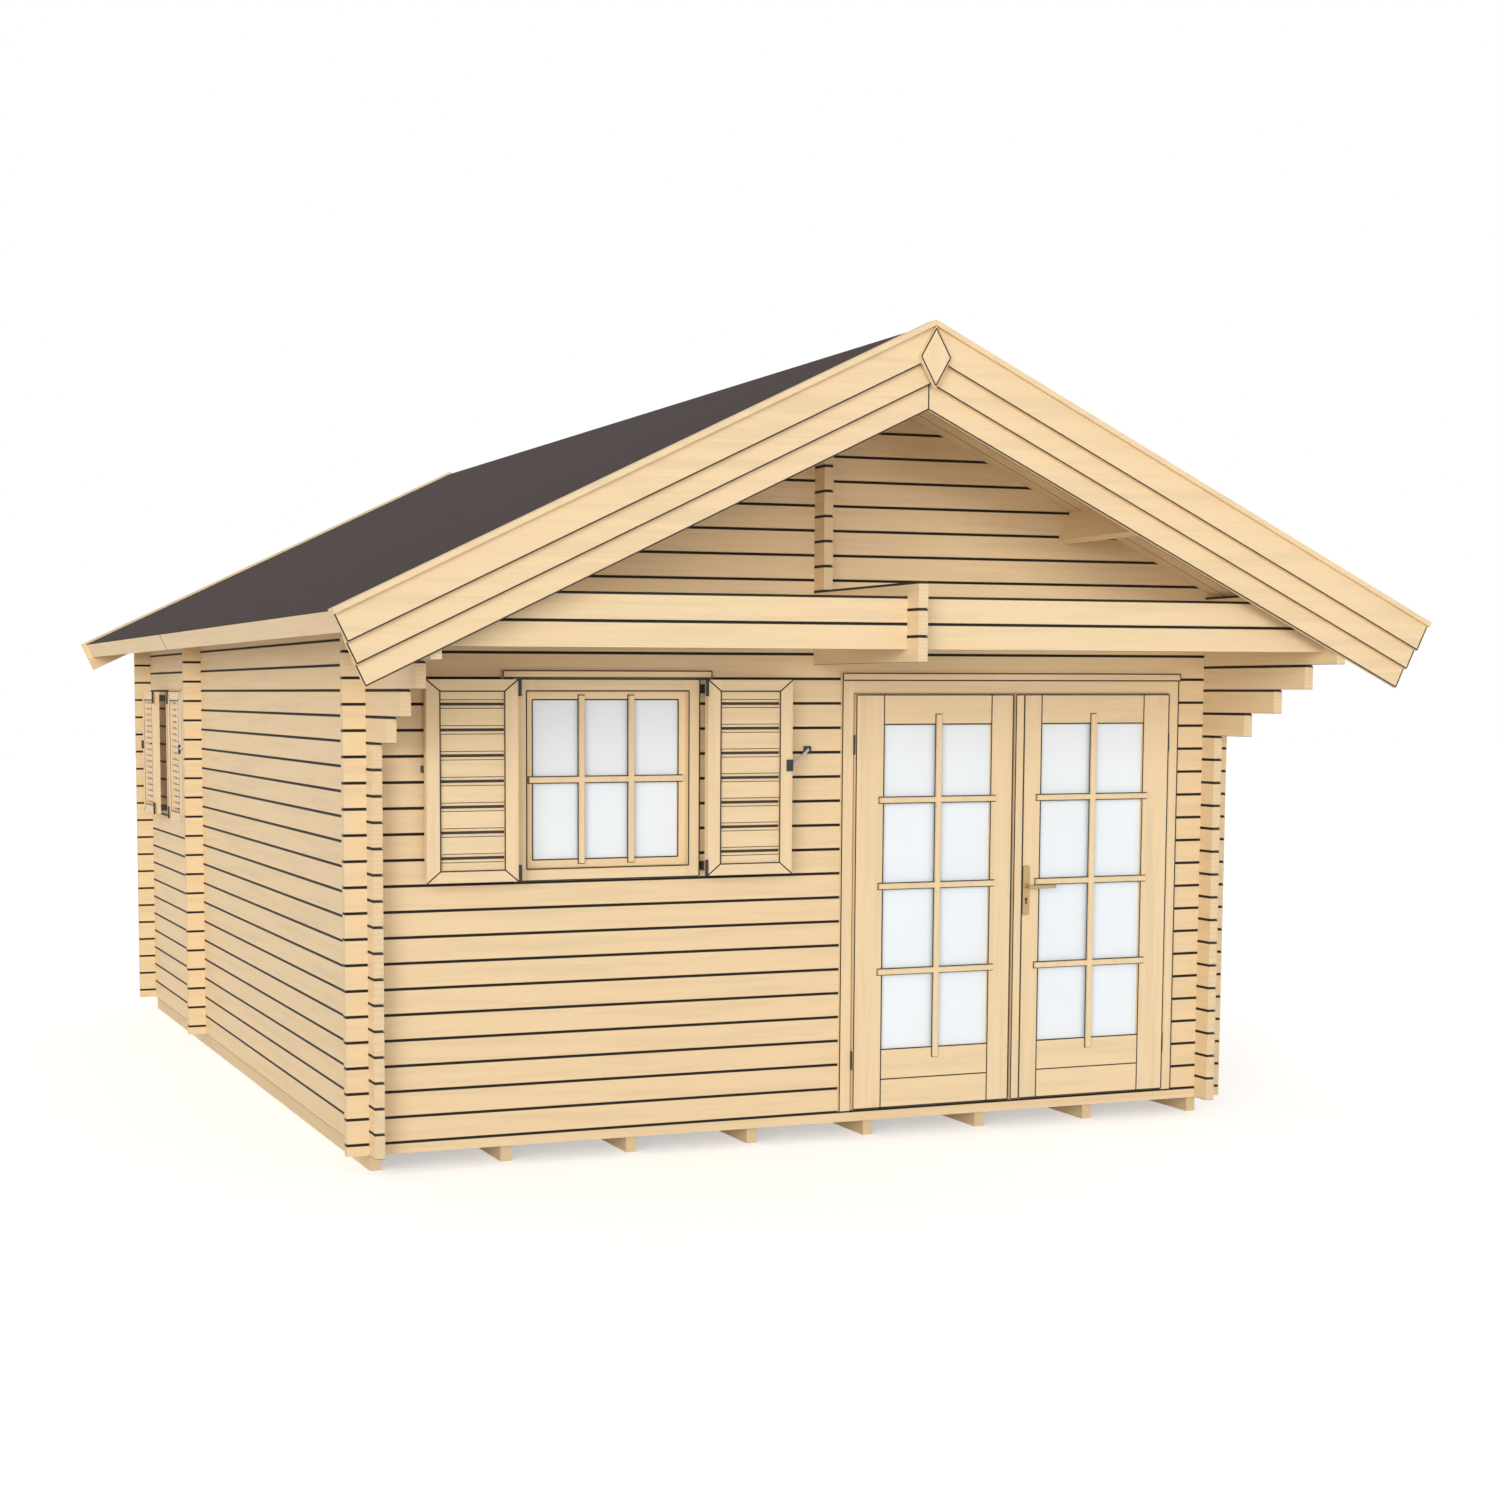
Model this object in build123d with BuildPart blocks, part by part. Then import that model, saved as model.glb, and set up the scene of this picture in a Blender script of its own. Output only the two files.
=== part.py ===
"""Two-room timber garden house: stacked planed logs with notched corners, a gable roof that
reaches forward over stepped corbel logs, a glazed double door and two shuttered windows."""

from build123d import *
import math
import os

# Wall logs
log_height = 113.0
log_thickness = 45.0
starter_height = 54.0
log_end = 100.0
log_gap = 0.4
log_easing = 8.0
notch_clearance = 0.3
side_log_count = 22
head_course = 19

# Stepped corbel logs and the tie between them
corbel_first = 16
corbel_count = 4
corbel_shortest = 336.0
corbel_step = 224.0
tie_log_count = 2
centre_log_count = 3
stub_tail = 100.0

# Plan, from wall face to wall face
house_width = 4300.0
front_room_depth = 3815.0
rear_room_depth = 1781.0

# Floor
joist_width = 50.0
joist_height = 78.0
joist_count = 8
joist_side_inset = 12.0
joist_end_inset = 40.0
floor_thickness = 20.0
floor_edge_gap = 6.0

# Roof
roof_pitch = 25.4
soffit_apex = 3511.0
roof_half_width = 2543.0
front_overhang = 1010.0
rear_overhang = 240.0
deck_thickness = 19.0
felt_thickness = 4.0
ridge_gap = 0.4
seat_gap = 0.3
purlin_width = 45.0
purlin_depth = 148.0
mid_purlin_along = 1470.0
fascia_thickness = 20.0
fascia_height = 90.0
fascia_setback = 30.0
fascia_joint = 3000.0
barge_thickness = 20.0
barge_top = 15.0
barge_upper_width = 119.0
barge_lower_width = 93.0
barge_lap = 24.0
rear_barge_width = 165.0
trim_height = 21.0
diamond_width = 148.0
diamond_height = 252.0
diamond_thickness = 20.0
diamond_drop = 3.0

# Double door
door_centre = 1037.0
door_opening_width = 1718.0
door_head = 2018.0
left_leaf_width = 836.0
leaf_gap = 6.0
leaf_sill_gap = 5.0
leaf_thickness = 42.0
leaf_proud = 31.0
hinge_stile_width = 146.0
door_glass_width = 571.0
top_rail_height = 140.0
bottom_rail_height = 280.0
astragal_width = 50.0
astragal_thickness = 8.0
jamb_width = 58.0
jamb_web = 25.0
casing_thickness = 15.0
head_face_height = 55.0
stop_width = 12.0
stop_gap = 5.0
door_cap_height = 39.0
door_cap_depth = 25.0
door_cap_overhang = 4.0
pane_thickness = 6.0
pane_gap = 0.3
pin_radius = 2.7
pin_length = 90.0
pin_inset = 5.0
hinge_flap = 24.0
pin_shares = (0.12, 0.88)

# Door furniture
handle_height = 1091.0
handle_edge = 74.0
plate_width = 36.0
plate_height = 242.0
plate_thickness = 6.0
plate_rise = 102.0
plate_corner = 12.0
keyhole_drop = 61.0
keyhole_radius = 8.0
keyhole_slot = 9.0
keyhole_length = 25.0
spindle_radius = 8.0
spindle_reach = 48.0
spindle_gap = 0.5
lever_length = 140.0
lever_height = 18.0
lever_thickness = 12.0

# Windows
front_window_centre = -1039.0
front_window_width = 885.0
front_window_first = 11
side_window_place_share = 0.462
side_window_width = 524.0
side_window_first = 11
side_window_last = 17
window_casing_proud = 20.0
window_casing_lap = 18.0
window_frame_width = 58.0
window_head_drop = 6.0
sash_setback = 15.0
sash_width = 35.0
sash_thickness = 38.0
window_cap_height = 37.0
window_cap_depth = 27.0
window_cap_overhang = 57.0

# Shutters, fixed open in front of the wall
front_shutter_width = 418.0
side_shutter_clearance = 114.0
shutter_thickness = 38.0
shutter_standoff = 58.0
shutter_frame_gap = 8.0
shutter_stile = 62.0
shutter_rail = 51.0
shutter_end_gap = 10.0
slat_inset = 11.0
front_groove_count = 7
front_groove_height = 31.0
front_groove_depth = 5.0
side_slot_count = 18
side_slot_height = 12.0
hinge_width = 24.0
hinge_height = 40.0
hinge_inset = 40.0
stay_width = 12.0
stay_height = 30.0
stay_share = 0.56

# Doorway in the partition
inner_door_centre = 900.0
inner_door_width = 820.0

overrun = 60.0

# Worked-out places. The origin lies on the ground under the middle of the roof.
half_width = house_width / 2
half_log = log_thickness / 2
side_mid = half_width - half_log
front_reach = front_overhang + 3 * barge_thickness + diamond_thickness
house_depth = front_room_depth + rear_room_depth + log_thickness
house_length = front_reach + house_depth + rear_overhang + barge_thickness
front_face = front_reach - house_length / 2
partition_face = front_face + front_room_depth
rear_face = partition_face + rear_room_depth
rear_outer = rear_face + log_thickness
corbel_tip = front_face - corbel_shortest - (corbel_count - 1) * corbel_step
tie_face = corbel_tip + log_end
deck_front = front_face - front_overhang
deck_rear = rear_outer + rear_overhang
wall_base = joist_height
lintel_base = wall_base + starter_height + (head_course - 1) * log_height
slope = math.radians(roof_pitch)
eave_along = roof_half_width / math.cos(slope)
cross_log_count = math.ceil((soffit_apex - starter_height) / log_height) + 1
door_left = door_centre - door_opening_width / 2
door_right = door_centre + door_opening_width / 2
door_head_z = wall_base + door_head
door_cap_z = door_head_z + head_face_height
sill_top = wall_base + starter_height
leaf_bottom = sill_top + leaf_sill_gap
leaf_height = door_head_z - leaf_gap - leaf_bottom
right_leaf_width = door_opening_width - 3 * leaf_gap - left_leaf_width
leaf_front = front_face - leaf_proud
leaf_back = leaf_front + leaf_thickness
right_leaf_left = door_right - leaf_gap - right_leaf_width


def section(y):
    """Plane across the house at y, drawn as (x, z); it looks to the front."""
    return Plane(origin=(0, y, 0), x_dir=(1, 0, 0), z_dir=(0, -1, 0))


def lengthwise(x):
    """Plane along the house at x, drawn as (y, z); it looks to the right."""
    return Plane(origin=(x, 0, 0), x_dir=(0, 1, 0), z_dir=(1, 0, 0))


def log_outline(mid, bottom, top):
    """A planed log in section, its two upper edges eased to show the joint line."""
    inner = half_log - log_easing
    return [(mid - half_log, bottom), (mid + half_log, bottom), (mid + half_log, top - log_easing),
            (mid + inner, top), (mid - inner, top), (mid - half_log, top - log_easing)]


def cross_bottom(course):
    """Height of the underside of a log that runs across; course 0 is the half log."""
    return wall_base + (starter_height + (course - 1) * log_height if course else 0)


def lay_cross_logs(y_face, x_from, x_to, first, last):
    """Lay courses first to last - 1 of the logs that run across the house."""
    with BuildSketch(lengthwise(x_from)) as profile:
        for course in range(first, last):
            top = cross_bottom(course + 1) - log_gap
            Polygon(*log_outline(y_face + half_log, cross_bottom(course), top), align=None)
    extrude(profile.sketch, amount=x_to - x_from, dir=(1, 0, 0))


def lay_long_logs(x_mid, y_from, y_to, first, last):
    """Lay logs first to last - 1 of those that run from front to rear."""
    with BuildSketch(section(y_to)) as profile:
        for course in range(first, last):
            bottom = wall_base + course * log_height
            Polygon(*log_outline(x_mid, bottom, bottom + log_height - log_gap), align=None)
    extrude(profile.sketch, amount=y_to - y_from, dir=(0, -1, 0))


def notch_cross_logs(x_mid, y_face, first, last):
    """Notch the undersides of logs that run across, over long logs first to last - 1."""
    low = starter_height - notch_clearance
    high = log_height + notch_clearance
    mids = [wall_base + course * log_height + (low + high) / 2 for course in range(first, last)]
    with Locations(*[(x_mid, y_face + half_log, z) for z in mids]):
        Box(log_thickness + 2 * notch_clearance, log_thickness + overrun, high - low, mode=Mode.SUBTRACT)


def notch_long_logs(x_mid, y_face, first, last):
    """Notch the undersides of long logs, over cross courses first to last - 1."""
    depth = starter_height + 2 * notch_clearance
    mids = [wall_base + course * log_height + starter_height / 2 for course in range(first, last)]
    with Locations(*[(x_mid, y_face + half_log, z) for z in mids]):
        Box(log_thickness + overrun, log_thickness + 2 * notch_clearance, depth, mode=Mode.SUBTRACT)


def slope_point(side, along, lift):
    """Point on a roof slope: along it from the ridge, lift above the soffit."""
    x = along * math.cos(slope) + lift * math.sin(slope)
    z = wall_base + soffit_apex - along * math.sin(slope) + lift * math.cos(slope)
    return (side * x, z)


def ridge_point(side, lift):
    """Point at a lift above the soffit beside the ridge's upright joint."""
    return slope_point(side, ridge_gap / 2 / math.cos(slope) - lift * math.tan(slope), lift)


def slope_board(y_from, y_to, low, high, end):
    """A board or sheet on each slope from the ridge to end, between two lifts."""
    for side in (-1, 1):
        with BuildSketch(section(y_to)) as outline:
            Polygon(ridge_point(side, low), slope_point(side, end, low),
                    slope_point(side, end, high), ridge_point(side, high), align=None)
        extrude(outline.sketch, amount=y_to - y_from, dir=(0, -1, 0))


def cut_under_roof(y_from, y_to):
    """Cut everything above the soffit."""
    reach = house_width
    with BuildSketch(section(y_to)) as space:
        Polygon(slope_point(-1, reach, -seat_gap), ridge_point(1, -seat_gap),
                slope_point(1, reach, -seat_gap), (reach, reach + house_width),
                (-reach, reach + house_width), align=None)
    extrude(space.sketch, amount=y_to - y_from, dir=(0, -1, 0), mode=Mode.SUBTRACT)


def purlin_outline(side, gap):
    """A purlin in section square to its slope, gap larger all round."""
    low = mid_purlin_along - gap
    high = mid_purlin_along + purlin_width + gap
    return [slope_point(side, low, -seat_gap + gap), slope_point(side, high, -seat_gap + gap),
            slope_point(side, high, -purlin_depth - gap), slope_point(side, low, -purlin_depth - gap)]


def ridge_outline(gap):
    """The ridge purlin in section, its top planed to both slopes, gap larger all round."""
    half = purlin_width / 2 + gap
    top = wall_base + soffit_apex - seat_gap + gap
    bottom = wall_base + soffit_apex - purlin_depth - gap
    shoulder = top - half * math.tan(slope)
    return [(-half, bottom), (half, bottom), (half, shoulder), (0, top), (-half, shoulder)]


def seat_purlins(y_from, y_to):
    """Cut the seats of the three purlins in a gable."""
    with BuildSketch(section(y_to)) as seats:
        for side in (-1, 1):
            Polygon(*purlin_outline(side, notch_clearance), align=None)
        Polygon(*ridge_outline(notch_clearance), align=None)
    extrude(seats.sketch, amount=y_to - y_from, dir=(0, -1, 0), mode=Mode.SUBTRACT)


def notch_corners(y_face, first, last):
    """Cut a cross wall where both side walls pass."""
    for x_mid in (-side_mid, side_mid):
        notch_cross_logs(x_mid, y_face, first, min(last, side_log_count))


def lay_gable(y_face):
    """Lay the courses over the openings up to the ridge, cut to the roof."""
    lay_cross_logs(y_face, -half_width - log_end, half_width + log_end, head_course, cross_log_count)
    notch_corners(y_face, head_course - 1, cross_log_count)
    cut_under_roof(y_face - overrun, y_face + overrun + log_thickness)
    seat_purlins(y_face - overrun, y_face + overrun + log_thickness)


def cut_opening(x_from, x_to, y_from, y_to, z_from, z_to):
    """Cut a straight opening through a wall."""
    with Locations(((x_from + x_to) / 2, (y_from + y_to) / 2, (z_from + z_to) / 2)):
        Box(x_to - x_from, y_to - y_from, z_to - z_from, mode=Mode.SUBTRACT)


def block(x_from, x_to, y_from, y_to, z_from, z_to):
    """A plain rectangular piece between its six faces."""
    with Locations(((x_from + x_to) / 2, (y_from + y_to) / 2, (z_from + z_to) / 2)):
        Box(x_to - x_from, y_to - y_from, z_to - z_from)


os.makedirs("parts", exist_ok=True)


def finish(builder, name):
    """Label a finished piece and write it."""
    builder.part.label = name
    export_step(builder.part, f"parts/{name}.step")


# Floor joists and the two floors on them
with BuildPart() as floor_joists:
    joist_pitch = (house_width - 2 * joist_side_inset - joist_width) / (joist_count - 1)
    joist_from = front_face + joist_end_inset
    joist_to = rear_outer - joist_end_inset
    with Locations((0, (joist_from + joist_to) / 2, joist_height / 2)):
        with GridLocations(joist_pitch, 0, joist_count, 1):
            Box(joist_width, joist_to - joist_from, joist_height)
finish(floor_joists, "floor_joists")

inner_half = half_width - log_thickness - floor_edge_gap
with BuildPart() as front_room_floor:
    block(-inner_half, inner_half, front_face + log_thickness + floor_edge_gap,
          partition_face - floor_edge_gap, wall_base, wall_base + floor_thickness)
finish(front_room_floor, "front_room_floor")

with BuildPart() as rear_room_floor:
    block(-inner_half, inner_half, partition_face + log_thickness + floor_edge_gap,
          rear_face - floor_edge_gap, wall_base, wall_base + floor_thickness)
finish(rear_room_floor, "rear_room_floor")

# Front wall: a half log under the door, logs beside the openings, the gable over them
window_left = front_window_centre - front_window_width / 2 + window_casing_lap
window_right = front_window_centre + front_window_width / 2 - window_casing_lap
wall_left = -half_width - log_end
wall_right = half_width + log_end

with BuildPart() as front_sill_log:
    lay_cross_logs(front_face, wall_left, wall_right, 0, 1)
    notch_corners(front_face, 0, 1)
finish(front_sill_log, "front_sill_log")

with BuildPart() as front_wall_left:
    lay_cross_logs(front_face, wall_left, door_left - jamb_web - seat_gap, 1, head_course)
    notch_cross_logs(-side_mid, front_face, 0, head_course)
    cut_opening(window_left, window_right, front_face - overrun, front_face + overrun + log_thickness,
                cross_bottom(front_window_first) - log_gap, lintel_base)
finish(front_wall_left, "front_wall_left")

with BuildPart() as front_wall_right:
    lay_cross_logs(front_face, door_right + jamb_web + seat_gap, wall_right, 1, head_course)
    notch_cross_logs(side_mid, front_face, 0, head_course)
finish(front_wall_right, "front_wall_right")

stub_first = side_log_count
centre_first = side_log_count - centre_log_count
ridge_bottom = wall_base + soffit_apex - purlin_depth
with BuildPart() as front_gable:
    lay_gable(front_face)
    notch_cross_logs(0, front_face, centre_first, cross_log_count)
finish(front_gable, "front_gable")

# Rear wall and the partition between the rooms
with BuildPart() as rear_wall:
    lay_cross_logs(rear_face, wall_left, wall_right, 0, head_course)
    notch_corners(rear_face, 0, head_course)
finish(rear_wall, "rear_wall")

with BuildPart() as rear_gable:
    lay_gable(rear_face)
finish(rear_gable, "rear_gable")

with BuildPart() as partition_sill_log:
    lay_cross_logs(partition_face, wall_left, wall_right, 0, 1)
    notch_corners(partition_face, 0, 1)
finish(partition_sill_log, "partition_sill_log")

with BuildPart() as partition_left:
    lay_cross_logs(partition_face, wall_left, inner_door_centre - inner_door_width / 2, 1, head_course)
    notch_cross_logs(-side_mid, partition_face, 0, head_course)
finish(partition_left, "partition_left")

with BuildPart() as partition_right:
    lay_cross_logs(partition_face, inner_door_centre + inner_door_width / 2, wall_right, 1, head_course)
    notch_cross_logs(side_mid, partition_face, 0, head_course)
finish(partition_right, "partition_right")

with BuildPart() as partition_gable:
    lay_gable(partition_face)
    notch_cross_logs(0, partition_face, centre_first, side_log_count)
finish(partition_gable, "partition_gable")


def lay_side_wall(x_mid):
    """Lay one side wall, its upper logs stepped forward as corbels."""
    lay_long_logs(x_mid, corbel_tip, rear_outer + log_end, 0, side_log_count)
    for step in range(corbel_count):
        tip = front_face - corbel_shortest - (step - 1) * corbel_step
        tip = front_face - log_end if step == 0 else tip
        under = wall_base if step == 0 else wall_base + (corbel_first + step - 1) * log_height
        cut_opening(x_mid - overrun, x_mid + overrun, corbel_tip - overrun, tip,
                    under - log_gap, wall_base + (corbel_first + step) * log_height - log_gap / 2)
    for y_face in (front_face, partition_face, rear_face):
        notch_long_logs(x_mid, y_face, 0, cross_log_count)
    notch_long_logs(x_mid, tie_face, head_course + 1, head_course + 1 + tie_log_count)
    cut_under_roof(corbel_tip, rear_outer + log_end)


# Side walls, the left one with a window into the rear room
rear_room_from = partition_face + log_thickness
side_window_mid = rear_room_from + side_window_place_share * (rear_face - rear_room_from)
side_shutter_edge = side_window_mid - side_window_width / 2 - shutter_frame_gap
side_shutter_width = side_shutter_edge - rear_room_from - side_shutter_clearance
side_opening_half = side_window_width / 2 - window_casing_lap
side_window_base = wall_base + side_window_first * log_height
side_window_head = wall_base + (side_window_last + 1) * log_height

with BuildPart() as left_wall:
    lay_side_wall(-side_mid)
    cut_opening(-half_width - overrun, -half_width + log_thickness + overrun,
                side_window_mid - side_opening_half, side_window_mid + side_opening_half,
                side_window_base - log_gap, side_window_head)
finish(left_wall, "left_wall")

with BuildPart() as right_wall:
    lay_side_wall(side_mid)
finish(right_wall, "right_wall")

# Centre beam, the stub logs over it and the tie across the corbels
with BuildPart() as centre_beam:
    lay_long_logs(0, corbel_tip, partition_face + log_thickness + log_end, centre_first, side_log_count)
    notch_long_logs(0, front_face, head_course, side_log_count + 1)
    notch_long_logs(0, partition_face, head_course, side_log_count + 1)
    notch_long_logs(0, tie_face, head_course + 1, head_course + 1 + tie_log_count)
finish(centre_beam, "centre_beam")

with BuildPart() as gable_stub_logs:
    lay_long_logs(0, front_face - log_end, front_face + log_thickness + stub_tail,
                  stub_first, cross_log_count)
    notch_long_logs(0, front_face, stub_first, cross_log_count)
    cut_opening(-overrun, overrun, front_face - log_end - overrun,
                front_face + log_thickness + stub_tail + overrun,
                ridge_bottom - notch_clearance, ridge_bottom + soffit_apex)
finish(gable_stub_logs, "gable_stub_logs")

with BuildPart() as tie_beam:
    lay_cross_logs(tie_face, wall_left, wall_right, head_course + 1, head_course + 1 + tie_log_count)
    for x_mid in (-side_mid, 0, side_mid):
        notch_cross_logs(x_mid, tie_face, head_course, side_log_count)
finish(tie_beam, "tie_beam")

# Purlins, boarded deck and its covering
purlin_front = deck_front + seat_gap
purlin_rear = deck_rear - seat_gap

with BuildPart() as ridge_purlin:
    with BuildSketch(section(purlin_rear)):
        Polygon(*ridge_outline(0), align=None)
    extrude(amount=purlin_rear - purlin_front)
finish(ridge_purlin, "ridge_purlin")

with BuildPart() as mid_purlins:
    with BuildSketch(section(purlin_rear)):
        for side in (-1, 1):
            Polygon(*purlin_outline(side, 0), align=None)
    extrude(amount=purlin_rear - purlin_front)
finish(mid_purlins, "mid_purlins")

deck_end = eave_along - fascia_setback - fascia_thickness
with BuildPart() as roof_deck:
    slope_board(deck_front, deck_rear, 0, deck_thickness, deck_end - seat_gap)
finish(roof_deck, "roof_deck")

with BuildPart() as roof_covering:
    slope_board(deck_front, deck_rear, deck_thickness, deck_thickness + felt_thickness,
                deck_end + fascia_thickness)
finish(roof_covering, "roof_covering")

# Boards along the eaves, each in two lengths
def eave_fascia(side):
    """One eave board in two lengths, square to the slope under the covering's edge."""
    joint = front_face + fascia_joint
    for y_from, y_to in ((deck_front, joint - log_gap), (joint, deck_rear)):
        with BuildSketch(section(y_to)) as outline:
            Polygon(slope_point(side, deck_end, deck_thickness),
                    slope_point(side, deck_end + fascia_thickness, deck_thickness),
                    slope_point(side, deck_end + fascia_thickness, deck_thickness - fascia_height),
                    slope_point(side, deck_end, deck_thickness - fascia_height), align=None)
        extrude(outline.sketch, amount=y_to - y_from, dir=(0, -1, 0))


with BuildPart() as left_fascia:
    eave_fascia(-1)
finish(left_fascia, "left_fascia")

with BuildPart() as right_fascia:
    eave_fascia(1)
finish(right_fascia, "right_fascia")

# Bargeboards: three lapped boards in front, one behind, each pair mitred at the ridge
upper_bottom = barge_top - barge_upper_width
middle_bottom = upper_bottom - barge_lower_width
with BuildPart() as front_bargeboard_upper:
    slope_board(deck_front - 3 * barge_thickness, deck_front - 2 * barge_thickness,
                upper_bottom, barge_top, eave_along)
finish(front_bargeboard_upper, "front_bargeboard_upper")

with BuildPart() as front_bargeboard_middle:
    slope_board(deck_front - 2 * barge_thickness, deck_front - barge_thickness,
                middle_bottom, upper_bottom + barge_lap, eave_along)
finish(front_bargeboard_middle, "front_bargeboard_middle")

with BuildPart() as front_bargeboard_lower:
    slope_board(deck_front - barge_thickness, deck_front,
                middle_bottom - barge_lower_width, middle_bottom + barge_lap, eave_along)
finish(front_bargeboard_lower, "front_bargeboard_lower")

with BuildPart() as rear_bargeboard:
    slope_board(deck_rear, deck_rear + barge_thickness, barge_top - rear_barge_width, barge_top, eave_along)
finish(rear_bargeboard, "rear_bargeboard")

with BuildPart() as front_edge_trim:
    slope_board(deck_front - 3 * barge_thickness - diamond_thickness, deck_front,
                barge_top, barge_top + trim_height, eave_along)
finish(front_edge_trim, "front_edge_trim")

with BuildPart() as rear_edge_trim:
    slope_board(deck_rear, deck_rear + barge_thickness, barge_top, barge_top + trim_height, eave_along)
finish(rear_edge_trim, "rear_edge_trim")

with BuildPart() as ridge_diamond:
    diamond_top = ridge_point(1, barge_top)[1] - diamond_drop
    with BuildSketch(section(deck_front - 3 * barge_thickness)):
        Polygon((0, diamond_top), (diamond_width / 2, diamond_top - diamond_height / 2),
                (0, diamond_top - diamond_height), (-diamond_width / 2, diamond_top - diamond_height / 2),
                align=None)
    extrude(amount=diamond_thickness)
finish(ridge_diamond, "ridge_diamond")

# Door frame: grooved jambs over the log ends, a head between them, stops and a cap
inside_face = front_face + log_thickness
stop_front = leaf_back + stop_gap
with BuildPart() as door_frame:
    for inner_edge, out in ((door_left, -1), (door_right, 1)):
        with BuildSketch(Plane.XY.offset(sill_top)):
            Polygon((inner_edge, front_face - casing_thickness),
                    (inner_edge + out * jamb_width, front_face - casing_thickness),
                    (inner_edge + out * jamb_width, front_face - seat_gap),
                    (inner_edge + out * jamb_web, front_face - seat_gap),
                    (inner_edge + out * jamb_web, inside_face + seat_gap),
                    (inner_edge + out * jamb_width, inside_face + seat_gap),
                    (inner_edge + out * jamb_width, inside_face + casing_thickness),
                    (inner_edge, inside_face + casing_thickness), align=None)
        extrude(amount=door_cap_z - sill_top)
    with BuildSketch(lengthwise(door_left + seat_gap)):
        Polygon((front_face - casing_thickness, door_head_z),
                (inside_face + casing_thickness, door_head_z),
                (inside_face + casing_thickness, door_cap_z), (inside_face + seat_gap, door_cap_z),
                (inside_face + seat_gap, lintel_base - seat_gap),
                (front_face - seat_gap, lintel_base - seat_gap),
                (front_face - seat_gap, door_cap_z), (front_face - casing_thickness, door_cap_z),
                align=None)
    extrude(amount=door_opening_width - 2 * seat_gap)
finish(door_frame, "door_frame")

with BuildPart() as door_stops:
    stop_back = inside_face + casing_thickness
    block(door_left + seat_gap, door_left + stop_width, stop_front, stop_back,
          sill_top, door_head_z - seat_gap)
    block(door_right - stop_width, door_right - seat_gap, stop_front, stop_back,
          sill_top, door_head_z - seat_gap)
    block(door_left + stop_width + seat_gap, door_right - stop_width - seat_gap, stop_front, stop_back,
          door_head_z - stop_width, door_head_z - seat_gap)
finish(door_stops, "door_stops")

with BuildPart() as door_head_cap:
    block(door_left - jamb_width - door_cap_overhang, door_right + jamb_width + door_cap_overhang,
          front_face - door_cap_depth, front_face - seat_gap,
          door_cap_z + seat_gap, door_cap_z + door_cap_height)
finish(door_head_cap, "door_head_cap")


def frame_leaf(x_from, width, glass_from):
    """A door leaf: stiles and rails around one tall pane."""
    block(x_from, x_from + width, leaf_front, leaf_back, leaf_bottom, leaf_bottom + leaf_height)
    cut_opening(glass_from, glass_from + door_glass_width, leaf_front - overrun, leaf_back + overrun,
                leaf_bottom + bottom_rail_height, leaf_bottom + leaf_height - top_rail_height)


def leaf_pane(glass_from):
    """The pane in the middle of a leaf's thickness."""
    mid = (leaf_front + leaf_back) / 2
    block(glass_from + pane_gap, glass_from + door_glass_width - pane_gap,
          mid - pane_thickness / 2, mid + pane_thickness / 2,
          leaf_bottom + bottom_rail_height + pane_gap,
          leaf_bottom + leaf_height - top_rail_height - pane_gap)


# Two leaves that swing outward; the right one carries the strip and the handle
left_leaf_left = door_left + leaf_gap
left_glass = left_leaf_left + hinge_stile_width
right_glass = door_right - leaf_gap - hinge_stile_width - door_glass_width
handle_x = right_leaf_left + handle_edge
handle_z = wall_base + handle_height
with BuildPart() as left_door_leaf:
    frame_leaf(left_leaf_left, left_leaf_width, left_glass)
finish(left_door_leaf, "left_door_leaf")

with BuildPart() as right_door_leaf:
    frame_leaf(right_leaf_left, right_leaf_width, right_glass)
    block(right_leaf_left, right_leaf_left + astragal_width, leaf_front - astragal_thickness, leaf_front,
          leaf_bottom, leaf_bottom + leaf_height)
    with BuildSketch(section(leaf_back)):
        with Locations((handle_x, handle_z)):
            Circle(spindle_radius + spindle_gap)
    extrude(amount=leaf_thickness, mode=Mode.SUBTRACT)
finish(right_door_leaf, "right_door_leaf")

with BuildPart() as left_door_glass:
    leaf_pane(left_glass)
finish(left_door_glass, "left_door_glass")

with BuildPart() as right_door_glass:
    leaf_pane(right_glass)
finish(right_door_glass, "right_door_glass")

with BuildPart() as door_handle:
    with BuildSketch(section(leaf_back + spindle_reach)):
        with Locations((handle_x, handle_z)):
            Circle(spindle_radius)
    extrude(amount=leaf_thickness + 2 * spindle_reach)
    plate_mid = handle_z + plate_rise - plate_height / 2
    keyhole_z = handle_z - keyhole_drop
    for start in (leaf_front - seat_gap, leaf_back + seat_gap + plate_thickness):
        with BuildSketch(section(start)):
            with Locations((handle_x, plate_mid)):
                RectangleRounded(plate_width, plate_height, plate_corner)
            with Locations((handle_x, keyhole_z)):
                Circle(keyhole_radius, mode=Mode.SUBTRACT)
                Rectangle(keyhole_slot, keyhole_length, align=(Align.CENTER, Align.MAX), mode=Mode.SUBTRACT)
        extrude(amount=plate_thickness)
    lever_reach = spindle_reach - lever_thickness / 2
    for lever_y in (leaf_front - lever_reach, leaf_back + lever_reach):
        with BuildSketch(lengthwise(handle_x - spindle_radius)):
            with Locations((lever_y, handle_z)):
                SlotOverall(lever_height, lever_thickness, rotation=90)
        extrude(amount=lever_length + spindle_radius)
finish(door_handle, "door_handle")

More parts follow.
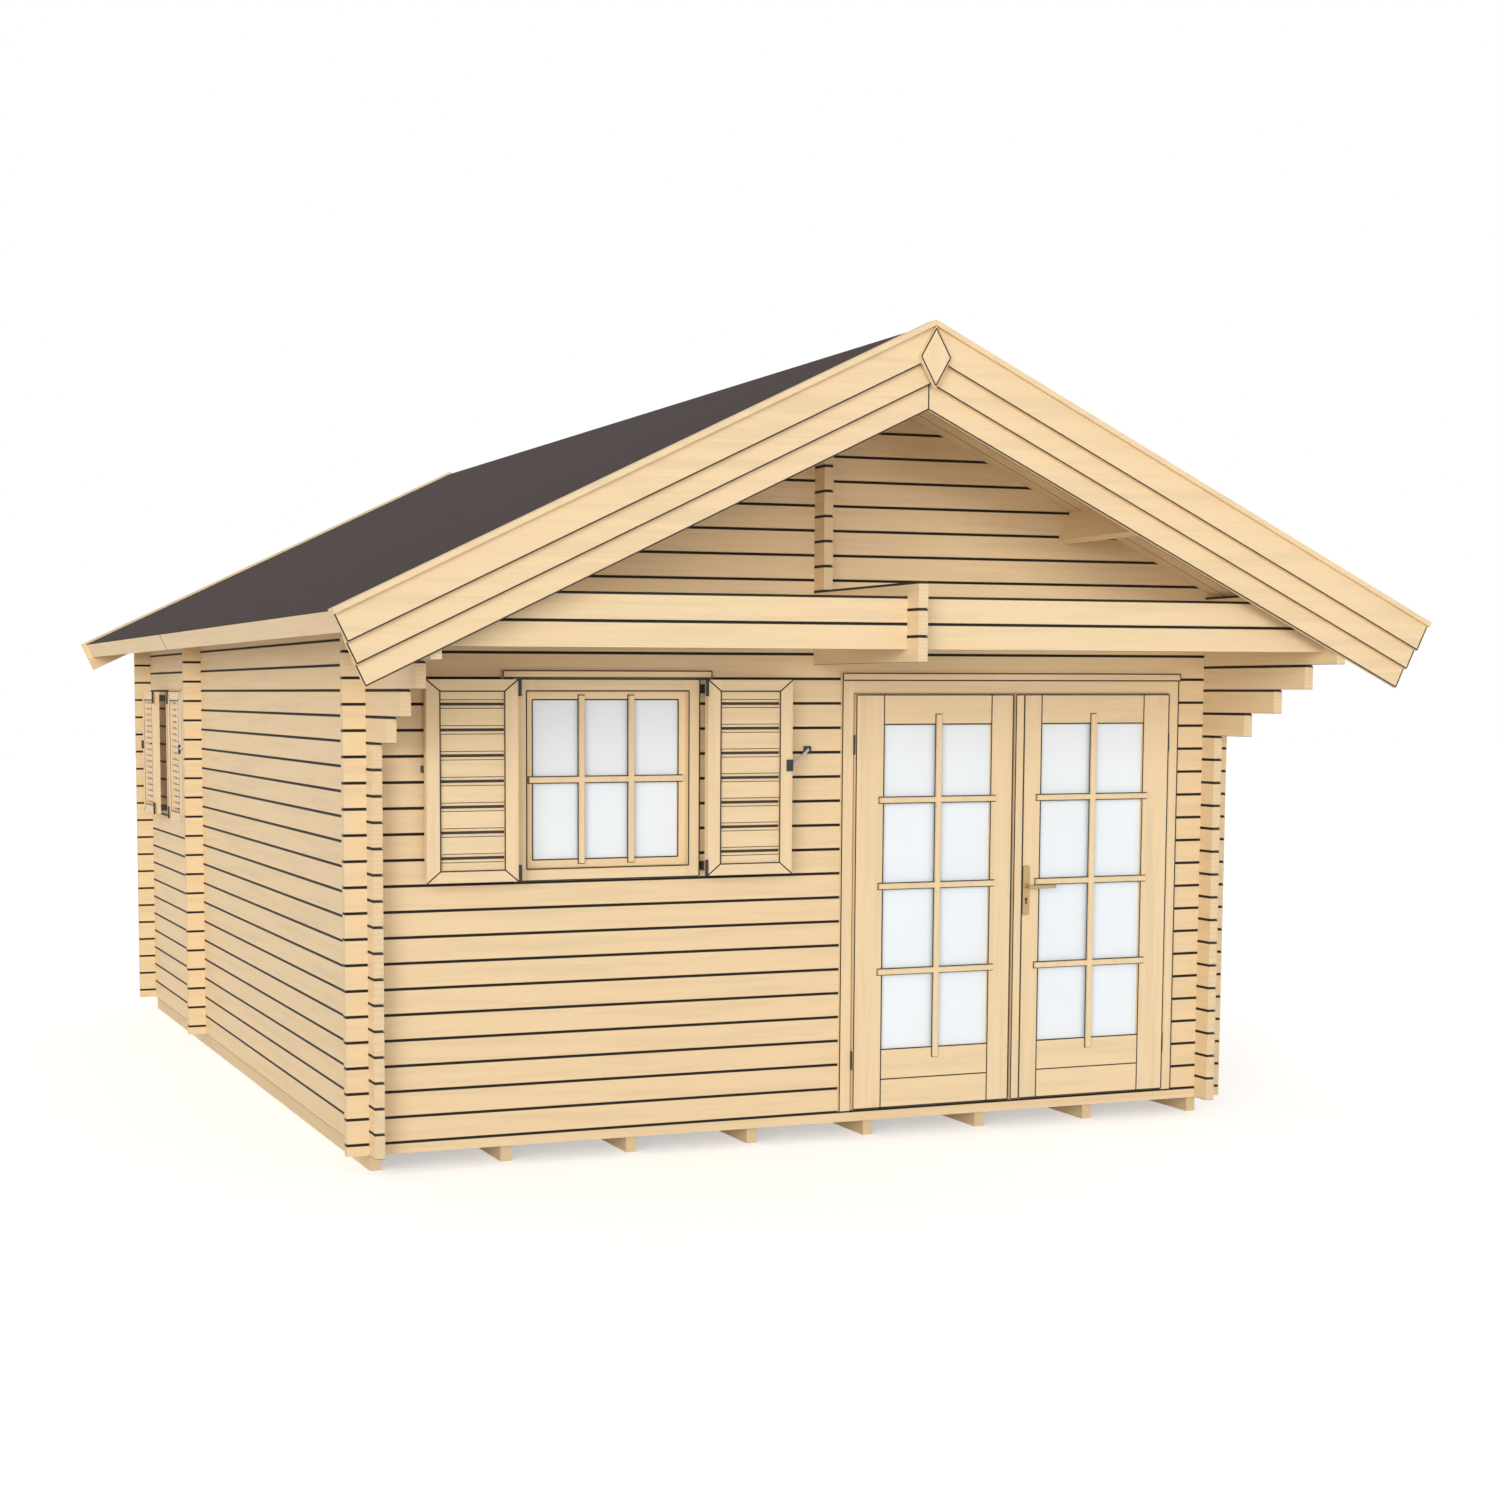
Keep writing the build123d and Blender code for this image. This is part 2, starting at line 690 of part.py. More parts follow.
with BuildPart() as door_hinge_pins:
    pin_y = leaf_front + pin_inset
    pin_heights = [leaf_bottom + share * leaf_height for share in pin_shares]
    pin_places = (door_left + leaf_gap / 2, door_right - leaf_gap / 2)
    with Locations(*[(x, pin_y, z) for x in pin_places for z in pin_heights]):
        Cylinder(pin_radius, pin_length)
    for z in pin_heights:
        for near, far in ((door_left + seat_gap, pin_places[0]), (pin_places[1], door_right - seat_gap)):
            block(near, far, pin_y, pin_y + hinge_flap, z - pin_length / 2, z + pin_length / 2)
finish(door_hinge_pins, "door_hinge_pins")


def facing(origin, x_dir, out):
    """Plane on a wall face: x along the wall, y up, looking outward."""
    return Plane(origin=origin, x_dir=x_dir, z_dir=out)


front_wall_plane = facing((front_window_centre, front_face, 0), (1, 0, 0), (0, -1, 0))
left_wall_plane = facing((-half_width, side_window_mid, 0), (0, -1, 0), (-1, 0, 0))


def ring(plane, out_from, out_to, outer, inner):
    """A rectangular ring between two distances from the wall face; boxes are (half, low, high)."""
    with BuildSketch(plane.offset(out_from)) as outline:
        half, low, high = outer
        Polygon((-half, low), (half, low), (half, high), (-half, high), align=None)
        half, low, high = inner
        Polygon((-half, low), (half, low), (half, high), (-half, high), align=None, mode=Mode.SUBTRACT)
    extrude(outline.sketch, amount=out_to - out_from, dir=plane.z_dir)


def window_boxes(width, base, head):
    """The casing, lining, daylight and glass of a window, each as (half width, low, high)."""
    half = width / 2
    casing = (half, base, head - window_head_drop)
    lining = (half - window_casing_lap - seat_gap, base, head - seat_gap)
    day = (half - window_frame_width, base + window_frame_width, head - window_head_drop - window_frame_width)
    glass = (day[0] - sash_width, day[1] + sash_width, day[2] - sash_width)
    return casing, lining, day, glass


def window_frame(plane, boxes):
    """Lining in the opening with a casing on each face of the wall."""
    casing, lining, day, glass = boxes
    ring(plane, -log_thickness - seat_gap, seat_gap, lining, day)
    ring(plane, seat_gap, window_casing_proud, casing, day)
    ring(plane, -log_thickness - window_casing_proud, -log_thickness - seat_gap, casing, day)


def shrink(box, gap):
    """The same box, smaller by a gap all round."""
    half, low, high = box
    return half - gap, low + gap, high - gap


def window_sash(plane, boxes):
    """The glazed sash set back in its frame."""
    ring(plane, -sash_setback - sash_thickness, -sash_setback, shrink(boxes[2], pane_gap), boxes[3])


def window_pane(plane, boxes):
    """The pane in the middle of the sash."""
    half, low, high = shrink(boxes[3], pane_gap)
    with BuildSketch(plane.offset(-sash_setback - sash_thickness / 2 - pane_thickness / 2)) as pane:
        Polygon((-half, low), (half, low), (half, high), (-half, high), align=None)
    extrude(pane.sketch, amount=pane_thickness, dir=plane.z_dir)


# Front window with its cap
front_boxes = window_boxes(front_window_width, cross_bottom(front_window_first), lintel_base)
with BuildPart() as front_window_frame:
    window_frame(front_wall_plane, front_boxes)
finish(front_window_frame, "front_window_frame")

with BuildPart() as front_window_sash:
    window_sash(front_wall_plane, front_boxes)
finish(front_window_sash, "front_window_sash")

with BuildPart() as front_window_glass:
    window_pane(front_wall_plane, front_boxes)
finish(front_window_glass, "front_window_glass")

with BuildPart() as front_window_cap:
    cap_half = front_window_width / 2 + window_cap_overhang
    cap_base = front_boxes[0][2] + seat_gap
    block(front_window_centre - cap_half, front_window_centre + cap_half,
          front_face - window_cap_depth, front_face - seat_gap, cap_base, cap_base + window_cap_height)
finish(front_window_cap, "front_window_cap")

# Side window
side_boxes = window_boxes(side_window_width, side_window_base, side_window_head)
with BuildPart() as side_window_frame:
    window_frame(left_wall_plane, side_boxes)
finish(side_window_frame, "side_window_frame")

with BuildPart() as side_window_sash:
    window_sash(left_wall_plane, side_boxes)
finish(side_window_sash, "side_window_sash")

with BuildPart() as side_window_glass:
    window_pane(left_wall_plane, side_boxes)
finish(side_window_glass, "side_window_glass")


def shutter_places(width, shutter_width):
    """Left and right edges of the two shutters beside a window."""
    inner = width / 2 + shutter_frame_gap
    return ((-inner - shutter_width, -inner), (inner, inner + shutter_width))


def shutter_pair(plane, places, span, groove_count, groove_height, groove_depth):
    """Two framed shutters; their boards lie back in the frame, with a groove cut between boards."""
    low, high = span
    clear_height = high - low - 2 * shutter_rail
    face = shutter_standoff + shutter_thickness - slat_inset
    for left, right in places:
        mid = (left + right) / 2
        clear_width = right - left - 2 * shutter_stile
        with BuildSketch(plane.offset(shutter_standoff)) as board:
            Polygon((left, low), (right, low), (right, high), (left, high), align=None)
        extrude(board.sketch, amount=shutter_thickness, dir=plane.z_dir)
        with BuildSketch(plane.offset(face)) as recess:
            with Locations((mid, (low + high) / 2)):
                Rectangle(clear_width, clear_height)
        extrude(recess.sketch, amount=slat_inset, dir=plane.z_dir, mode=Mode.SUBTRACT)
        with BuildSketch(plane.offset(face - groove_depth)) as grooves:
            with Locations((mid, (low + high) / 2)):
                with GridLocations(0, clear_height / groove_count, 1, groove_count):
                    Rectangle(clear_width, groove_height)
        extrude(grooves.sketch, amount=groove_depth, dir=plane.z_dir, mode=Mode.SUBTRACT)


def shutter_span(boxes):
    """Lower and upper edge of the shutters beside a window."""
    return boxes[0][1] + shutter_end_gap, boxes[0][2] - shutter_end_gap / 2


# Shutters in front of the wall on black hinges and stays
with BuildPart() as front_shutters:
    shutter_pair(front_wall_plane, shutter_places(front_window_width, front_shutter_width),
                 shutter_span(front_boxes), front_groove_count, front_groove_height, front_groove_depth)
finish(front_shutters, "front_shutters")

with BuildPart() as side_shutters:
    shutter_pair(left_wall_plane, shutter_places(side_window_width, side_shutter_width),
                 shutter_span(side_boxes), side_slot_count, side_slot_height,
                 shutter_thickness - slat_inset)
finish(side_shutters, "side_shutters")

shutter_sets = ((front_wall_plane, front_window_width, front_shutter_width, front_boxes),
                (left_wall_plane, side_window_width, side_shutter_width, side_boxes))


def wall_lugs(plane, places, width, height):
    """Small iron lugs that stand out from the wall and carry a shutter."""
    with BuildSketch(plane.offset(seat_gap)) as lugs:
        with Locations(*places):
            Rectangle(width, height)
    extrude(lugs.sketch, amount=shutter_standoff - 2 * seat_gap, dir=plane.z_dir)


with BuildPart() as shutter_hinges:
    for plane, width, shutter_width, boxes in shutter_sets:
        low, high = shutter_span(boxes)
        reach = width / 2 + shutter_frame_gap + hinge_width / 2
        wall_lugs(plane, [(s * reach, z) for s in (-1, 1) for z in (low + hinge_inset, high - hinge_inset)],
                  hinge_width, hinge_height)
finish(shutter_hinges, "shutter_hinges")

with BuildPart() as shutter_stays:
    for plane, width, shutter_width, boxes in shutter_sets:
        low, high = shutter_span(boxes)
        reach = width / 2 + shutter_frame_gap + shutter_width - stay_width / 2
        level = low + stay_share * (high - low)
        wall_lugs(plane, [(s * reach, level) for s in (-1, 1)], stay_width, stay_height)
finish(shutter_stays, "shutter_stays")
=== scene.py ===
"""Looks of a two-room log garden house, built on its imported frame, in metres."""

import bpy
import math
import numpy as np
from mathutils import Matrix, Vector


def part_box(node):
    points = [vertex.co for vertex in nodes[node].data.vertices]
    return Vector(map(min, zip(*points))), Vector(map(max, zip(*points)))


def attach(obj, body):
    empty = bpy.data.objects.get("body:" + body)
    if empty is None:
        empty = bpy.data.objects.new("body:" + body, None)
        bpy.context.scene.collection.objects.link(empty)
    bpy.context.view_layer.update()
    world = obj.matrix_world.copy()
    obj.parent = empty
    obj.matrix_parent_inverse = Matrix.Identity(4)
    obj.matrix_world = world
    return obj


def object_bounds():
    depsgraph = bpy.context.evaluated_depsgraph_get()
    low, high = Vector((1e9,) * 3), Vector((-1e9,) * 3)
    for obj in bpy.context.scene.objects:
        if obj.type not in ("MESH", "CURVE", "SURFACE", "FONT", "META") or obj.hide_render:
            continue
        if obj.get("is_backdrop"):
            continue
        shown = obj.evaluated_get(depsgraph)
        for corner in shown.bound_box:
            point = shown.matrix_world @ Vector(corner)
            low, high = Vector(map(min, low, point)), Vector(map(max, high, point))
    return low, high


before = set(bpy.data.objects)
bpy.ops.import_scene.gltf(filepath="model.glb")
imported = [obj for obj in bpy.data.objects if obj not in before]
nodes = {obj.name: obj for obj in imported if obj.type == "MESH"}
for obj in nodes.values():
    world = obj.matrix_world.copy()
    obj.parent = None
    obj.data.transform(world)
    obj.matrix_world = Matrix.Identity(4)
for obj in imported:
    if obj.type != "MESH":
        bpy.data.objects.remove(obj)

# Wall logs: planed spruce, stacked on edge, notched over each other at the corners.
# Along every course a near-black line of dirt and painted shade stands for the shaded groove that their eased
# upper edges leave.
LOG_COLOUR = (0.78, 0.588, 0.35)
# Near-black joint colour: dirt and painted shade, standing for the shaded groove between logs or boards.
JOINT_DIRT_AND_SHADE_COLOUR = (0.012, 0.009, 0.006)
LONG_COURSES = 22
JOIST_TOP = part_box("floor_joists")[1].z
COURSE = (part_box("right_wall")[1].z - JOIST_TOP) / LONG_COURSES
SILL_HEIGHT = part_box("front_sill_log")[1].z - JOIST_TOP
JOINT_WIDTH = 0.013
JOINT_DROP = 0.0045
GROWTH_SCALE = (1.1, 22.0)  # along and across the grain
PORE_SCALE = (6.0, 260.0)
BAND_SHARE, PORE_SHARE, PATCH_SHARE, RING_SHARE = 0.55, 0.16, 0.2, 0.3
END_FACE = 0.8  # a face that looks further than this along the grain shows end grain
JOINT_FACE = 0.9  # one that looks further than this from joint to joint shows no joint


def feed(socket, value):
    """Give an input socket a number, a colour or another node's output."""
    if isinstance(value, bpy.types.NodeSocket):
        socket.id_data.links.new(value, socket)
    elif socket.type == "RGBA":
        socket.default_value = (*value, 1)
    else:
        socket.default_value = value


def set_inputs(made, **inputs):
    """Feed a node's inputs by name, with a low line for each space in a name."""
    for name, value in inputs.items():
        feed(made.inputs[name.replace("_", " ")], value)


def node(tree, kind, settings=(), **inputs):
    """A new shader node with its settings and its inputs."""
    made = tree.nodes.new(kind)
    for name, value in settings:
        setattr(made, name, value)
    set_inputs(made, **inputs)
    return made


def maths(tree, operation, *values):
    """A Math node's result; each value is a number or an output."""
    made = node(tree, "ShaderNodeMath", [("operation", operation)])
    for socket, value in zip(made.inputs, values):
        feed(socket, value)
    return made.outputs[0]


def noise(tree, vector, **inputs):
    """Grey value of a noise, read at a vector."""
    return node(tree, "ShaderNodeTexNoise", Vector=vector, **inputs).outputs["Fac"]


def stretch(tree, value, low, high):
    """A value from 0 to 1 stretched to run from low to high."""
    return node(tree, "ShaderNodeMapRange", Value=value, To_Min=low, To_Max=high).outputs["Result"]


def soft_step(tree, value, low, high):
    """0 below low, 1 above high and an S-shaped change between them."""
    smooth = [("interpolation_type", "SMOOTHSTEP")]
    return node(tree, "ShaderNodeMapRange", smooth, Value=value, From_Min=low, From_Max=high).outputs["Result"]


def past(tree, value, edge):
    """0 below an edge and 1 above it, with a soft change three tenths of the edge wide."""
    return soft_step(tree, value, edge * 0.85, edge * 1.15)


def mix(tree, kind, share, a, b):
    """Mix of two colours or two vectors; a Mix node keeps each kind's sockets at its own places."""
    first, second, result = {"RGBA": (6, 7, 2), "VECTOR": (4, 5, 1)}[kind]
    made = node(tree, "ShaderNodeMix", [("data_type", kind)])
    for place, value in ((0, share), (first, a), (second, b)):
        feed(made.inputs[place], value)
    return made.outputs[result]


def tint(tree, value, share, a, b):
    """Colour a turned towards b by a share of a value from 0 to 1."""
    return mix(tree, "RGBA", maths(tree, "MULTIPLY", value, share), a, b)


def shade(colour, factor):
    """The colour made lighter or darker by a factor."""
    return tuple(min(1.0, channel * factor) for channel in colour)


def relief(tree, shader, height, strength, distance):
    """Small bumps on a shader, from a height."""
    bump = node(tree, "ShaderNodeBump", Strength=strength, Distance=distance, Height=height)
    set_inputs(shader, Normal=bump.outputs["Normal"])


def new_material(name):
    """A new material, its node tree, its shader and its Object coordinates."""
    made = bpy.data.materials.new(name)
    made.use_nodes = True
    tree = made.node_tree
    return made, tree, tree.nodes["Principled BSDF"], node(tree, "ShaderNodeTexCoord").outputs["Object"]


def joint_line(tree, along, start, pitch, width, drop):
    """1 inside a band of the given width under each joint, joints lying at start + n * pitch."""
    shifted = maths(tree, "SUBTRACT", along, start - drop)
    turn = maths(tree, "WRAP", maths(tree, "DIVIDE", shifted, pitch), 0.5, -0.5)
    away = maths(tree, "MULTIPLY", maths(tree, "ABSOLUTE", turn), pitch)
    return maths(tree, "SUBTRACT", 1.0, past(tree, away, width / 2))


def grain_vector(tree, place, grain_axis, scale, rails, axes):
    """Object coordinates squeezed across the grain. Inside each of the rails, given as
    (axis, low, high), the grain turns to run along that axis."""
    def squeezed(axis):
        return node(tree, "ShaderNodeMapping", Vector=place,
                    Scale=[scale[0] if i == axis else scale[1] for i in range(3)]).outputs["Vector"]
    vector = squeezed(grain_axis)
    for axis, low, high in rails:
        inside = maths(tree, "MULTIPLY", maths(tree, "GREATER_THAN", axes[axis], low),
                       maths(tree, "LESS_THAN", axes[axis], high))
        vector = mix(tree, "VECTOR", inside, vector, squeezed(axis))
    return vector


def timber(name, colour, grain_axis, lines=(), rails=()):
    """Planed softwood: grain stretched along one axis, pale and dark growth bands, end grain
    on faces across that axis, fine pores in the bump, and dark joint lines of dirt and painted shade where asked."""
    made, tree, shader, place = new_material(name)
    axes = node(tree, "ShaderNodeSeparateXYZ", Vector=place).outputs
    facing = node(tree, "ShaderNodeNewGeometry").outputs["Normal"]
    normal = node(tree, "ShaderNodeSeparateXYZ", Vector=facing).outputs
    growth = noise(tree, grain_vector(tree, place, grain_axis, GROWTH_SCALE, rails, axes),
                   Scale=1.0, Detail=5.0, Roughness=0.6, Distortion=0.6)
    pores = noise(tree, grain_vector(tree, place, grain_axis, PORE_SCALE, rails, axes), Scale=1.0, Detail=3.0)
    patch = noise(tree, place, Scale=0.7, Detail=2.0)
    rings = node(tree, "ShaderNodeTexWave", [("wave_type", "RINGS")],
                 Vector=place, Scale=34.0, Distortion=3.0, Detail=2.0).outputs["Fac"]
    pale, dark, deep, sunned = (shade(colour, factor) for factor in (1.03, 0.86, 0.7, 1.12))
    pale_end, dark_end = shade(colour, 0.98), shade(colour, 0.74)
    wood = tint(tree, soft_step(tree, growth, low=0.42, high=0.66), BAND_SHARE, pale, dark)
    wood = tint(tree, pores, PORE_SHARE, wood, deep)
    wood = tint(tree, patch, PATCH_SHARE, wood, sunned)
    end_wood = tint(tree, rings, RING_SHARE, pale_end, dark_end)
    end_face = past(tree, maths(tree, "ABSOLUTE", normal[grain_axis]), END_FACE)
    wood = mix(tree, "RGBA", end_face, wood, end_wood)
    for axis, *joint in lines:
        joint_face = past(tree, maths(tree, "ABSOLUTE", normal[axis]), JOINT_FACE)
        # Painted shade: the joint lines darken the wood where the groove between logs or boards lies in shade,
        # with some dirt.
        joint_shade_mask = maths(tree, "MULTIPLY", joint_line(tree, axes[axis], *joint),
                         maths(tree, "SUBTRACT", 1.0, joint_face))
        wood = mix(tree, "RGBA", joint_shade_mask, wood, JOINT_DIRT_AND_SHADE_COLOUR)
    set_inputs(shader, Base_Color=wood, Roughness=stretch(tree, pores, low=0.55, high=0.75))
    relief(tree, shader, pores, strength=0.18, distance=0.002)
    return made


def dress(material, *names):
    """Give CAD nodes a material."""
    for name in names:
        nodes[name].data.materials.clear()
        nodes[name].data.materials.append(material)


cross_log_joint_shade = (2, JOIST_TOP + SILL_HEIGHT, COURSE, JOINT_WIDTH, JOINT_DROP)
long_log_joint_shade = (2, JOIST_TOP, COURSE, JOINT_WIDTH, JOINT_DROP)
dress(timber("cross_log_timber", LOG_COLOUR, 0, (cross_log_joint_shade,)),
      "front_sill_log", "front_wall_left", "front_wall_right", "front_gable", "rear_wall", "rear_gable",
      "partition_sill_log", "partition_left", "partition_right", "partition_gable", "tie_beam")
dress(timber("long_log_timber", LOG_COLOUR, 1, (long_log_joint_shade,)),
      "left_wall", "right_wall", "centre_beam", "gable_stub_logs")

# Floor: pressure-treated joists lie on the ground and carry tongued floor boards.
# The boards run from front to rear and show a narrow joint every nine centimetres, painted as a dark line of dirt
# and shade.
FLOOR_BOARD = 0.09
FLOOR_LINE = 0.004
JOIST_COLOUR = (0.7, 0.52, 0.3)
dress(timber("joist_timber", JOIST_COLOUR, 1), "floor_joists")
dress(timber("floor_timber", JOIST_COLOUR, 1, ((0, 0, FLOOR_BOARD, FLOOR_LINE, 0),)),
      "front_room_floor", "rear_room_floor")

# Roof: planed boards run from the ridge to the eaves over three purlins.
# Their joints show from below as dark lines of dirt and painted shade; the covering above is dark mineral felt.
ROOF_BOARD = 0.096
ROOF_LINE = 0.006
FELT_COLOUR = (0.062, 0.044, 0.041)
FELT_LAP = 0.9
LAP_LINE = 0.006
GRAIN_SHARE, CLOUD_SHARE, LAP_SHARE = 0.5, 0.25, 0.35
dress(timber("roof_board_timber", LOG_COLOUR, 0, ((1, 0, ROOF_BOARD, ROOF_LINE, 0),)), "roof_deck")
dress(timber("purlin_timber", LOG_COLOUR, 1), "ridge_purlin", "mid_purlins")


def mineral_felt(name, colour):
    """Bitumen felt with mineral grains: speckled colour, matt, with a soft line at each lap."""
    made, tree, shader, place = new_material(name)
    axes = node(tree, "ShaderNodeSeparateXYZ", Vector=place).outputs
    grains = node(tree, "ShaderNodeTexVoronoi", Vector=place, Scale=420.0).outputs["Distance"]
    cloud = noise(tree, place, Scale=1.6, Detail=4.0)
    lap = joint_line(tree, axes[0], 0, FELT_LAP, LAP_LINE, 0)
    tone = tint(tree, grains, GRAIN_SHARE, shade(colour, 0.86), shade(colour, 1.25))
    tone = tint(tree, cloud, CLOUD_SHARE, tone, shade(colour, 1.2))
    tone = tint(tree, lap, LAP_SHARE, tone, shade(colour, 0.5))
    set_inputs(shader, Base_Color=tone, Roughness=0.95, Specular_IOR_Level=0.15)
    relief(tree, shader, grains, strength=0.25, distance=0.002)
    return made


dress(mineral_felt("mineral_felt", FELT_COLOUR), "roof_covering")

# Edge boards: planed boards nailed to the purlin ends and the deck's edges.
# Three lap each other in front, a strip caps them, and a diamond hides the ridge joint.
dress(timber("edge_board_timber", LOG_COLOUR, 0),
      "front_bargeboard_upper", "front_bargeboard_middle", "front_bargeboard_lower",
      "rear_bargeboard", "front_edge_trim", "rear_edge_trim")
dress(timber("eave_board_timber", LOG_COLOUR, 1), "left_fascia", "right_fascia")
dress(timber("diamond_timber", shade(LOG_COLOUR, 1.02), 2), "ridge_diamond")

# Door and window joinery: stiles and jambs with upright grain, rails and heads with level grain.
# All are planed spruce, tenoned together, a little cleaner than the logs.
JOINERY_COLOUR = (0.79, 0.6, 0.362)


def framed_timber(name, *rails):
    """Joinery wood with upright grain that lies level inside the rails."""
    return timber(name, JOINERY_COLOUR, 2, (), rails)


left_pane, right_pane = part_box("left_door_glass"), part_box("right_door_glass")
front_pane, side_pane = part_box("front_window_glass"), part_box("side_window_glass")
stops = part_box("door_stops")
dress(framed_timber("left_leaf_timber", (0, left_pane[0].x, left_pane[1].x)), "left_door_leaf")
dress(framed_timber("right_leaf_timber", (0, right_pane[0].x, right_pane[1].x)), "right_door_leaf")
dress(framed_timber("door_frame_timber", (0, stops[0].x, stops[1].x)), "door_frame", "door_stops")
dress(framed_timber("front_window_timber", (0, front_pane[0].x, front_pane[1].x)),
      "front_window_frame", "front_window_sash")
dress(framed_timber("side_window_timber", (1, side_pane[0].y, side_pane[1].y)),
      "side_window_frame", "side_window_sash")
level_timber = timber("level_joinery", JOINERY_COLOUR, 0)
dress(level_timber, "door_head_cap", "front_window_cap")

# Shutters: framed boards, mitred at the corners, fixed open in front of the wall.
# The front pair's boards lie level behind the frame; the side pair has narrow louvres.
SHUTTER_GAP = 0.008
SHUTTER_STILE = 0.062
SHUTTER_RAIL = 0.051


def shutter_spans(low, high, opening):
    """Low and high edges of the two shutters that fill low to high on either side of a window."""
    width = (high - low - opening) / 2 - SHUTTER_GAP
    return ((low, low + width), (high - width, high))


front_shutters, side_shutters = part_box("front_shutters"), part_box("side_shutters")
front_casing, side_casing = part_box("front_window_frame"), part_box("side_window_frame")
front_spans = shutter_spans(front_shutters[0].x, front_shutters[1].x, front_casing[1].x - front_casing[0].x)
side_spans = shutter_spans(side_shutters[0].y, side_shutters[1].y, side_casing[1].y - side_casing[0].y)
dress(framed_timber("front_shutter_timber", *((0, a + SHUTTER_STILE, b - SHUTTER_STILE) for a, b in front_spans)),
      "front_shutters")
dress(framed_timber("side_shutter_timber", *((1, a + SHUTTER_STILE, b - SHUTTER_STILE) for a, b in side_spans)),
      "side_shutters")

# Glass: clear float glass, set in the middle of each leaf and sash.
# It carries a pale cool tint and a nearly opaque pale colour of painted reflection, uneven across the pane, that
# hides most of the rooms.
GLASS_TINT_AND_REFLECTION = (0.87, 0.92, 0.96)
GLASS_IOR = 1.5


def float_glass(name, colour):
    """Pale glass: a clear share and a pale share of painted reflection, uneven across the pane, sharp gloss, with
    slight ripples.
    """
    made, tree, shader, place = new_material(name)
    reflection_cloud = noise(tree, place, Scale=1.3, Detail=3.0)
    # Painted reflection: the pale, nearly opaque colour stands for the sky reflected in the glass.
    set_inputs(shader, Base_Color=mix(tree, "RGBA", reflection_cloud, shade(colour, 0.97), shade(colour, 1.03)),
               Alpha=stretch(tree, reflection_cloud, low=0.88, high=0.95), Roughness=0.06, IOR=GLASS_IOR)
    relief(tree, shader, reflection_cloud, strength=0.03, distance=0.01)
    return made


dress(float_glass("float_glass", GLASS_TINT_AND_REFLECTION), "left_door_glass", "right_door_glass",
      "front_window_glass", "side_window_glass")

# Door handle: a satin brass lever on a long plate with a keyhole, one on each face of the leaf.
# A round spindle through the leaf joins the two levers.
BRASS_COLOUR = (0.5, 0.36, 0.17)
SCUFF_SHARE = 0.4


def coated_metal(name, colour, metallic, rough_low, rough_high):
    """Metal or stoved finish: cloudy gloss from one noise and a fine orange-peel bump from another."""
    made, tree, shader, place = new_material(name)
    peel = noise(tree, place, Scale=300.0, Detail=2.0)
    scuff = noise(tree, place, Scale=24.0, Detail=5.0)
    set_inputs(shader, Base_Color=tint(tree, scuff, SCUFF_SHARE, colour, shade(colour, 1.2)),
               Metallic=metallic, Roughness=stretch(tree, scuff, rough_low, rough_high))
    relief(tree, shader, peel, strength=0.08, distance=0.0006)
    return made


dress(coated_metal("satin_brass", BRASS_COLOUR, metallic=0.85, rough_low=0.3, rough_high=0.45), "door_handle")

# Iron fittings: stoved black steel hinges for the doors and shutters, and lugs that hold the shutters.
# They are screwed to the frames and the wall.
IRON_COLOUR = (0.018, 0.018, 0.019)
iron = coated_metal("black_iron", IRON_COLOUR, metallic=0.0, rough_low=0.35, rough_high=0.55)
dress(iron, "shutter_hinges", "shutter_stays", "door_hinge_pins")

# Glazing bars: slim planed battens laid over the glass and on to the wood around it, on dark tape.
# Each leaf has one upright and three level bars, on both faces; the front window has two uprights
# and one level bar on its outer face, and the side window one level bar.
BAR_WIDTH = 0.025
BAR_DEPTH = 0.016
LEVEL_BAR_SHARE = 0.9  # a level bar's depth, as a share of an upright's
BAR_EASE = 0.003
BAR_LAP = 0.022
BAR_TALL_LAP = 0.045
DOOR_BAR_SHARES = (0.241, 0.505, 0.769)
WINDOW_UPRIGHTS = (0.33, 0.67)
WINDOW_LAP = 0.018
MIDDLE = (0.5,)
TAPE_DEPTH = 0.0012
TAPE_EDGE = 0.0045
TAPE_EASE = TAPE_DEPTH / 4
# Near-black colour of the glazing tape, and of the strips of painted shade along seams and edges.
DARK_TAPE_AND_SHADE_COLOUR = (0.03, 0.022, 0.015)
upright_timber = timber("upright_joinery", JOINERY_COLOUR, 2)
dark_tape_and_shade_seams = timber("dark_tape_and_shade_seams", DARK_TAPE_AND_SHADE_COLOUR, 2)


def put_in(name, data):
    """A new object in the scene."""
    made = bpy.data.objects.new(name, data)
    bpy.context.scene.collection.objects.link(made)
    return made


